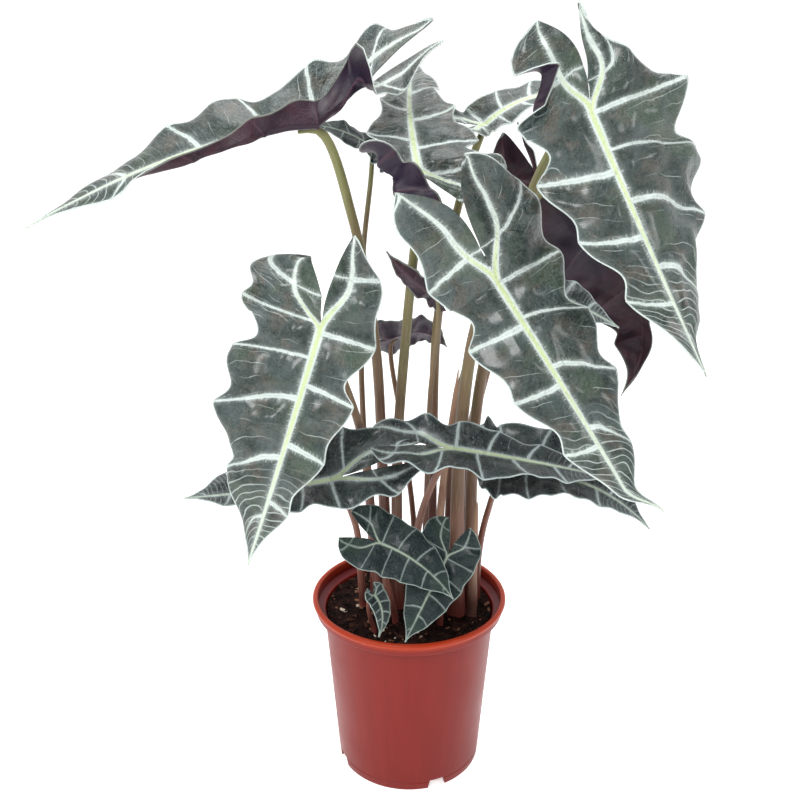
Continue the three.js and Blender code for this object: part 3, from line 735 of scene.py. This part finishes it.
class Link:
    """A shader socket with arithmetic: each operator adds a Math node."""

    def __init__(self, shader, socket):
        self.shader = shader
        self.socket = socket

    def math(self, operation, *values):
        inputs = dict(enumerate((self, *values)))
        return self.shader.link(self.shader.node("Math", {"operation": operation}, inputs))

    def __add__(self, other):
        return self.math("ADD", other)

    def __sub__(self, other):
        return self.math("SUBTRACT", other)

    def __rsub__(self, other):
        made = self.shader.node("Math", {"operation": "SUBTRACT"}, {0: other, 1: self})
        return self.shader.link(made)

    def __mul__(self, other):
        return self.math("MULTIPLY", other)

    def __pow__(self, other):
        return self.math("POWER", other)

    def __abs__(self):
        return self.math("ABSOLUTE")

    __radd__ = __add__
    __rmul__ = __mul__

    def most(self, other):
        return self.math("MAXIMUM", other)

    def ramp(self, low, high, start=0, end=1):
        """Turns low..high smoothly into start..end, and holds outside."""
        made = self.shader.node(
            "MapRange",
            {"interpolation_type": "SMOOTHSTEP", "clamp": True},
            {"Value": self, "From Min": low, "From Max": high, "To Min": start, "To Max": end},
        )
        return self.shader.link(made, "Result")

    def to_nearest_whole(self):
        """Distance to the nearest whole number, 0 to 0.5."""
        return abs(self - self.math("ROUND"))


class Shader:
    """One material's nodes."""

    def __init__(self, name, **constants):
        self.material = bpy.data.materials.new(name)
        self.material.use_nodes = True
        self.tree = self.material.node_tree
        self.surface = self.tree.nodes["Principled BSDF"]
        for socket, value in constants.items():
            self.surface.inputs[socket.replace("_", " ").title().replace("Ior", "IOR")].default_value = value

    def node(self, kind, settings=None, inputs=None):
        made = self.tree.nodes.new("ShaderNode" + kind)
        for name, value in (settings or {}).items():
            setattr(made, name, value)
        for name, value in (inputs or {}).items():
            if isinstance(value, Link):
                self.tree.links.new(value.socket, made.inputs[name])
            else:
                made.inputs[name].default_value = value
        return made

    def link(self, made, output=0):
        return Link(self, made.outputs[output])

    def parts(self, vector):
        made = self.node("SeparateXYZ", inputs={0: vector})
        return [self.link(made, axis) for axis in "XYZ"]

    def spot(self):
        """Place on the object, in metres."""
        return self.link(self.node("TexCoord"), "Object")

    def map(self, name):
        """One of the piece's own maps, as its two numbers."""
        return self.parts(self.link(self.node("UVMap", {"uv_map": name})))[:2]

    def joined(self, x=0, y=0, z=0):
        return self.link(self.node("CombineXYZ", inputs={0: x, 1: y, 2: z}))

    def noise(self, vector, scale, detail=2, roughness=0.5, distortion=0):
        values = {"Vector": vector, "Scale": scale, "Detail": detail}
        values |= {"Roughness": roughness, "Distortion": distortion}
        return self.link(self.node("TexNoise", inputs=values), "Fac")

    def cell_walls(self, vector, scale):
        """Distance to the nearest wall of a net of cells."""
        kind = {"feature": "DISTANCE_TO_EDGE"}
        made = self.node("TexVoronoi", kind, {"Vector": vector, "Scale": scale})
        return self.link(made, "Distance")

    def mix(self, amount, first, second):
        """Colours are tuples or links."""
        made = self.node("Mix", {"data_type": "RGBA"}, {0: amount, 6: first, 7: second})
        return self.link(made, 2)

    def layers(self, base, *coats):
        """A base with coats laid over it, each given as how much of it and its colour."""
        for amount, coat in coats:
            base = self.mix(amount, base, coat)
        return base

    def bump(self, height, distance, strength=1):
        values = {"Height": height, "Distance": distance, "Strength": strength}
        return self.link(self.node("Bump", inputs=values))

    def finish(self, colour, roughness=None, normal=None):
        for name, value in {"Base Color": colour, "Roughness": roughness, "Normal": normal}.items():
            if value is not None:
                self.tree.links.new(value.socket, self.surface.inputs[name])
        return self.material


def rgb(red, green, blue):
    return (red, green, blue, 1)


class Veins:
    """Where a blade's veins and margin lie, as masks from 0 to 1, from the maps that blade_mesh makes."""

    def __init__(self, shader, rib, side_rib, margin, lines=0):
        across_mm, along_mm = shader.map("flat")
        place, spacing = shader.map("ribs")
        from_edge, gap = shader.map("edge")
        across, along = shader.map("place")
        self.flat = shader.joined(across_mm, along_mm)
        wobble = shader.noise(self.flat, 0.16, 2) - 0.5
        frayed = shader.noise(self.flat, 0.8, 2, 0.6) - 0.5

        hairs_on_rib = shader.noise(shader.joined(along_mm * 0.95, across_mm * 0.05), 1, 2)
        hairs_on_side = shader.noise(shader.joined(across_mm * 0.95, along_mm * 0.05), 1, 2)
        spur_on_rib = hairs_on_rib.ramp(0.42, 0.74) * (0.65 * rib)
        spur_on_side = hairs_on_side.ramp(0.42, 0.74) * (0.95 * side_rib)

        rib_width = rib * (1 - 0.78 * abs(along))
        rib_distance = abs(gap)
        rib_edge = rib_distance - rib_width + 0.6 * wobble + 0.7 * frayed
        self.rib = rib_edge.ramp(-0.8, 0.7, 1, 0)
        rib_hairs = (rib_edge - spur_on_rib).ramp(-1, 1.2, 0.5, 0)
        self.yellow = (rib_distance - 0.3 * rib_width).ramp(-0.2, 1.3, 1, 0)
        self.yellow = self.yellow * along.ramp(0.3, 0.85, 1, 0.25) * along.ramp(-0.55, -0.1, 0.1, 1)

        whole = place + 0.05 * wobble
        side_distance = whole.to_nearest_whole() * spacing
        inside_lobe = gap.ramp(-2, 2, 0.35, 1)
        side_width = side_rib * (1 - 0.45 * across) * inside_lobe * along.ramp(0.6, 0.9, 1, 0.35)
        side_edge = side_distance - side_width + 0.5 * frayed
        self.side = side_edge.ramp(-0.7, 0.6, 1, 0)
        side_hairs = (side_edge - spur_on_side).ramp(-1, 1.2, 0.42, 0)
        core = side_distance.ramp(0, 0.5, 0.16, 0) + rib_distance.ramp(0, 0.6, 0.12, 0)

        drift = shader.noise(self.flat, 0.06, 1) - 0.5
        fine_place = place * 4 + 0.8 * drift + across * 0.6
        fine = (fine_place.to_nearest_whole() * (0.25 * spacing)).ramp(0.05, 0.45, 0.5, 0)
        patch = shader.noise(shader.joined(across_mm * 0.03, along_mm * 0.09), 1, 1).ramp(0.45, 0.6)
        lines_at_tip = (fine_place * 2).to_nearest_whole() * (0.125 * spacing)
        towards_tip = along.ramp(0.5, 0.75) * across.ramp(0, 0.15)
        near_tip = lines_at_tip.ramp(0.1, 0.75, 0.62, 0) * towards_tip
        self.fine = (fine * patch * across.ramp(0.05, 0.5)).most(near_tip) * lines

        net = shader.cell_walls(self.flat, 0.34).ramp(0.02, 0.14, 1, 0)
        self.net = net * shader.noise(self.flat, 0.04, 1).ramp(0.35, 0.7)
        self.margin = (from_edge + 0.4 * wobble + 0.4 * frayed).ramp(margin - 0.2, margin + 0.6, 1, 0)
        main = self.rib.most(self.side * (1 - core)).most(self.margin)
        halo = rib_edge.ramp(0, 1.3 * rib, 0.14, 0).most(side_edge.ramp(0, 1.8 * side_rib, 0.12, 0))
        halo = halo.most(from_edge.ramp(0.5, 5 * margin, 0.12, 0))
        self.pale = main.most(halo).most(rib_hairs).most(side_hairs).most(self.fine).most(0.05 * self.net)


# How the upper sides look. rib, side_rib and margin are half widths of the pale lines in millimetres;
# lines, gloss, shine, sheen and yellow say how strong each is, from 0 to 1.
UPPER_LOOKS = {
    "mature": dict(
        rib=3.6, side_rib=2.4, margin=0.85, lines=1, gloss=0.5, shine=0.5, sheen=0.35, yellow=0.75,
        dark=rgb(0.008, 0.02, 0.016), mid=rgb(0.036, 0.062, 0.059), dusk=rgb(0.075, 0.062, 0.045),
        moss=rgb(0.035, 0.07, 0.032), vein=rgb(0.6, 0.68, 0.65),
    ),
    # low: a darker copy of the mature look, painted shade for the lower leaves, which lie under the others
    "low": dict(
        rib=2.8, side_rib=1.8, margin=0.7, lines=0.6, gloss=0.35, shine=0.5, sheen=0.2, yellow=0.6,
        dark=rgb(0.005, 0.011, 0.012), mid=rgb(0.017, 0.031, 0.033), dusk=rgb(0.03, 0.027, 0.026),
        moss=rgb(0.014, 0.034, 0.026), vein=rgb(0.4, 0.48, 0.47),
    ),
    "young": dict(
        rib=0.85, side_rib=0.55, margin=0.35, lines=0.05, gloss=0.12, shine=0.2, sheen=0.06, yellow=0.15,
        dark=rgb(0.006, 0.013, 0.014), mid=rgb(0.012, 0.024, 0.024), dusk=rgb(0.022, 0.027, 0.034),
        moss=rgb(0.017, 0.036, 0.024), vein=rgb(0.3, 0.37, 0.34),
    ),
}


def blade_upper(name, look):
    """Glossy upper side: dark green-grey tissue with feathered silver veins and a pale margin."""
    gloss = look["gloss"]
    shader = Shader(
        name, ior=1.45, specular_ior_level=look["shine"], coat_weight=gloss, coat_roughness=0.2
    )
    veins = Veins(shader, look["rib"], look["side_rib"], look["margin"], look["lines"])
    broad = shader.noise(veins.flat, 0.03, 3, 0.6).ramp(0.36, 0.64)
    patches = shader.noise(veins.flat, 0.05, 3, 0.6).ramp(0.48, 0.66)
    mossy = shader.noise(veins.flat, 0.021, 2, 0.5, 0.6).ramp(0.48, 0.62)
    mottle = shader.noise(veins.flat, 0.15, 3, 0.6).ramp(0.42, 0.72)
    tissue = shader.layers(
        look["dark"],
        (broad, look["mid"]),
        (0.7 * patches, look["dusk"]),
        (0.55 * mossy, look["moss"]),
        (look["sheen"] * mottle, rgb(0.09, 0.11, 0.095)),
        (veins.pale, look["vein"]),
        (look["yellow"] * veins.yellow, rgb(0.56, 0.67, 0.27)),
    )
    roughness = shader.noise(veins.flat, 0.12, 3).ramp(0.3, 0.7, 0.22, 0.4) + 0.14 * veins.pale
    ridges = shader.noise(veins.flat, 0.18, 3, 0.55)
    height = 0.2 * veins.net + 0.3 * veins.fine - 0.35 * veins.side + (2 + 7 * gloss) * ridges
    return shader.finish(tissue, roughness, shader.bump(height, 0.8 * MM, 0.85))


def blade_under():
    """Underside: deep purple, with paler raised ribs and a green tinge at the margin."""
    shader = Shader("leaf_underside", specular_ior_level=0.35)
    veins = Veins(shader, 2.2, 1.3, 0.9)
    broad = shader.noise(veins.flat, 0.045, 3, 0.6).ramp(0.3, 0.7)
    navy = shader.noise(shader.spot(), 9, 2, 0.5).ramp(0.42, 0.58)
    tissue = shader.layers(
        rgb(0.012, 0.0035, 0.009),
        (broad, rgb(0.04, 0.011, 0.02)),
        (0.7 * navy, rgb(0.013, 0.009, 0.028)),
        (0.5 * veins.rib.most(0.7 * veins.side), rgb(0.1, 0.045, 0.065)),
        (0.3 * veins.net, rgb(0.06, 0.025, 0.042)),
        (0.8 * veins.margin, rgb(0.2, 0.22, 0.19)),
    )
    roughness = shader.noise(veins.flat, 0.15, 3).ramp(0.3, 0.7, 0.36, 0.5)
    height = 0.6 * veins.net + 0.4 * shader.noise(veins.flat, 0.6, 4, 0.6)
    return shader.finish(tissue, roughness, shader.bump(height, 0.3 * MM, 0.7))


def stalk_skin():
    """Olive and tan above, turning through brown to a pinkish red at the foot, with fine streaks."""
    shader = Shader("leaf_stalk_skin", ior=1.4)
    around, along = shader.map("round")
    x, y, height = shader.parts(shader.spot())
    streaks = shader.noise(shader.joined(around * 46, along * 0.035), 1, 2, 0.6)
    patches = shader.noise(shader.spot(), 42, 3, 0.6)
    kind = shader.noise(shader.joined(x * 34, y * 34), 1, 1)
    warmth = (height + 0.09 * (patches - 0.5) + 0.3 * (kind - 0.5)).ramp(0.17, 0.44)
    green = (height + 0.1 * (patches - 0.5) + 0.4 * (kind - 0.5)).ramp(0.36, 0.52)
    skin = shader.layers(
        rgb(0.17, 0.062, 0.046),
        (warmth, rgb(0.21, 0.15, 0.08)),
        (0.8 * green, rgb(0.2, 0.22, 0.08)),
        (streaks.ramp(0.45, 0.75, 0, 0.5), rgb(0.08, 0.035, 0.03)),
        (streaks.ramp(0.45, 0.25, 0, 0.35), rgb(0.42, 0.33, 0.2)),
        (height.ramp(0.146, 0.175, 0.6, 0), rgb(0.2, 0.03, 0.028)),
    )
    roughness = patches.ramp(0.3, 0.7, 0.32, 0.46)
    return shader.finish(skin, roughness, shader.bump(streaks, 0.25 * MM, 0.6))


def sheath_paper():
    """Dry sheath: tan paper with long fibres, darker brown towards its foot."""
    shader = Shader("dry_sheath_paper")
    around, along = shader.map("round")
    fibres = shader.noise(shader.joined(around * 40, along * 0.02), 1, 4, 0.65)
    blotch = shader.noise(shader.spot(), 60, 3, 0.6)
    height = shader.parts(shader.spot())[2]
    paper = shader.layers(
        rgb(0.25, 0.12, 0.075),
        (fibres.ramp(0.35, 0.7), rgb(0.38, 0.26, 0.165)),
        (blotch.ramp(0.5, 0.7, 0, 0.55), rgb(0.24, 0.09, 0.055)),
        # darker brown towards the foot
        (height.ramp(0.15, 0.22, 0.85, 0), rgb(0.09, 0.03, 0.025)),
    )
    return shader.finish(paper, fibres.ramp(0.3, 0.7, 0.55, 0.75), shader.bump(fibres, 0.4 * MM, 0.7))


def pot_plastic():
    """Terracotta-red satin plastic with faint flow streaks, scuffs and a little soil dust, a painted
    highlight along the top of the lip and painted shade on the wall inside the rim.
    """
    shader = Shader("terracotta_plastic", specular_ior_level=0.25)
    spot = shader.spot()
    x, y, height = shader.parts(spot)
    flow = shader.noise(shader.joined(x * 120, y * 120, height * 6), 1, 3, 0.6)
    cloud = shader.noise(spot, 22, 3, 0.6)
    scuff = shader.noise(shader.joined(x * 60, y * 60, height * 420), 1, 3, 0.6)
    # painted shade: the wall inside the rim, above the soil, is painted a darker red
    inside = height.ramp(0.149, 0.1496) * ((x * x + y * y) ** 0.5).ramp(0.0796, 0.0808, 0.75, 0)
    dust = shader.noise(spot, 260, 4, 0.7).ramp(0.56, 0.7) * height.ramp(0.02, 0, 0, 0.4)
    plastic = shader.layers(
        rgb(0.18, 0.008, 0.004),
        (flow.ramp(0.3, 0.7), rgb(0.2, 0.01, 0.005)),
        (cloud.ramp(0.45, 0.75, 0, 0.3), rgb(0.16, 0.011, 0.008)),
        # painted highlight: the top of the lip is painted a brighter orange, standing in for the light from
        # above
        (height.ramp(0.152, 0.156, 0, 0.8), rgb(0.4, 0.034, 0.004)),
        # painted shade inside the rim
        (inside, rgb(0.1, 0.006, 0.01)),
        (scuff.ramp(0.64, 0.74, 0, 0.25), rgb(0.32, 0.06, 0.035)),
        (dust, rgb(0.12, 0.06, 0.04)),
    )
    roughness = cloud.ramp(0.3, 0.7, 0.34, 0.44) + scuff.ramp(0.64, 0.74, 0, 0.14)
    return shader.finish(plastic, roughness, shader.bump(shader.noise(spot, 900, 2), 0.05 * MM, 0.5))


def moist_soil():
    shader = Shader("moist_peat", specular_ior_level=0.08)
    spot = shader.spot()
    coarse = shader.noise(spot, 120, 4, 0.7)
    fine = shader.noise(spot, 520, 4, 0.75)
    peat = shader.layers(
        rgb(0.004, 0.0014, 0.0012),
        (coarse.ramp(0.35, 0.7), rgb(0.022, 0.008, 0.006)),
        (fine.ramp(0.6, 0.68, 0, 0.7), rgb(0.16, 0.09, 0.07)),
    )
    return shader.finish(peat, fine.ramp(0.3, 0.7, 0.7, 0.95), shader.bump(coarse + 0.6 * fine, 1.6 * MM))


def crumb_mix():
    """Peat, bark and pale grains, told apart by each crumb's own tone."""
    shader = Shader("peat_crumbs", specular_ior_level=0.12)
    tone = shader.link(shader.node("Attribute", {"attribute_name": "tone"}), "Fac")
    fine = shader.noise(shader.spot(), 700, 3, 0.7)
    bits = shader.layers(
        rgb(0.006, 0.0022, 0.002),
        (tone.ramp(0.2, 0.7), rgb(0.04, 0.015, 0.01)),
        (tone.ramp(0.82, 0.88), rgb(0.2, 0.1, 0.055)),
        (tone.ramp(0.955, 0.965), rgb(0.5, 0.42, 0.34)),
        (fine.ramp(0.45, 0.7, 0, 0.5), rgb(0.02, 0.01, 0.008)),
    )
    return shader.finish(bits, fine.ramp(0.3, 0.7, 0.7, 0.95), shader.bump(fine, 0.3 * MM))


def corm_skin():
    """The corms' brown, ringed and fibrous skin."""
    shader = Shader("corm_skin")
    x, y, height = shader.parts(shader.spot())
    rings = shader.noise(shader.joined(x * 30, y * 30, height * 500), 1, 3, 0.6)
    fibre = shader.noise(shader.joined(x * 500, y * 500, height * 40), 1, 4, 0.65)
    skin = shader.layers(
        rgb(0.07, 0.032, 0.02),
        (rings.ramp(0.35, 0.65), rgb(0.2, 0.11, 0.065)),
        (fibre.ramp(0.5, 0.75, 0, 0.6), rgb(0.3, 0.2, 0.13)),
    )
    return shader.finish(skin, fibre.ramp(0.3, 0.7, 0.65, 0.85), shader.bump(rings + fibre, 0.8 * MM))


# -------- stage


def add_light(name, place, aim, size, power):
    lamp = bpy.data.lights.new(name, "AREA")
    lamp.shape = "DISK"
    lamp.size = size
    lamp.energy = power
    made = add_object(name, lamp)
    made.location = place
    made.rotation_euler = (Vector(aim) - Vector(place)).to_track_quat("-Z", "Y").to_euler()


def add_stage():
    """A pale floor, soft lights from above and the front, an even surround and the camera."""
    bm = bmesh.new()
    bmesh.ops.create_grid(bm, x_segments=1, y_segments=1, size=12)
    floor = as_object(bm, "studio_floor")
    shader = Shader("floor_paint", roughness=0.9, emission_color=rgb(1, 1, 1), emission_strength=0.6)
    grain = shader.noise(shader.spot(), 3, 2)
    paint = shader.mix(grain, rgb(0.86, 0.86, 0.86), rgb(0.88, 0.88, 0.88))
    floor.data.materials.append(shader.finish(paint))
    add_light("softbox_front", (-0.7, -2.1, 2), (0, 0, 0.4), 0.8, 30)
    add_light("softbox_front_left", (-1.7, -1.2, 1.9), (0, 0, 0.35), 0.7, 16)
    add_light("softbox_front_right", (1.7, -1.3, 1.5), (0, 0, 0.3), 0.7, 10)
    add_light("softbox_top", (0.1, 0.3, 2.4), (0, 0, 0.3), 1.6, 24)
    world = bpy.data.worlds.new("studio_surround")
    world.use_nodes = True
    sky = world.node_tree
    facing = sky.nodes.new("ShaderNodeSeparateXYZ")
    sky.links.new(sky.nodes.new("ShaderNodeTexCoord").outputs["Generated"], facing.inputs[0])
    fade = sky.nodes.new("ShaderNodeMapRange")
    for socket, value in {"From Min": -0.5, "From Max": 0.5, "To Min": 0.3, "To Max": 1.05}.items():
        fade.inputs[socket].default_value = value
    sky.links.new(facing.outputs["Y"], fade.inputs["Value"])
    sky.links.new(fade.outputs["Result"], sky.nodes["Background"].inputs["Strength"])
    sky.nodes["Background"].inputs["Color"].default_value = rgb(1, 1, 1)
    bpy.context.scene.world = world
    bpy.context.scene.view_settings.view_transform = "Standard"
    lens = bpy.data.cameras.new("studio_camera")
    lens.lens = 45
    lens.sensor_width = 36
    camera = add_object("studio_camera", lens)
    camera.location = (-0.008, -0.777, 0.616)
    camera.rotation_euler = (math.radians(70.5), 0, 0)
    bpy.context.scene.camera = camera


def build():
    uppers = {name: blade_upper(f"leaf_upper_{name}", look) for name, look in UPPER_LOOKS.items()}
    under = blade_under()
    skin = stalk_skin()
    paper = sheath_paper()
    for name, own in LEAVES.items():
        leaf = USUAL_LEAF | own
        # the lower leaves get the low look, a darker copy painted as shade
        look = "young" if name in SMALL else "low" if name in SHADED_LOW else "mature"
        make_leaf_blade(name, leaf, uppers[look], under)
        make_leaf_stalk(name, leaf, skin)
    for name, sheath in SHEATHS.items():
        make_sheath(name, sheath["route"], sheath["radii"], paper)
    make_pot(pot_plastic())
    make_soil(moist_soil())
    make_crumbs(crumb_mix())
    corm_material = corm_skin()
    for name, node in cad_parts.items():
        if name.startswith("corm_"):
            node.data.materials.clear()
            node.data.materials.append(corm_material)
    add_stage()


build()
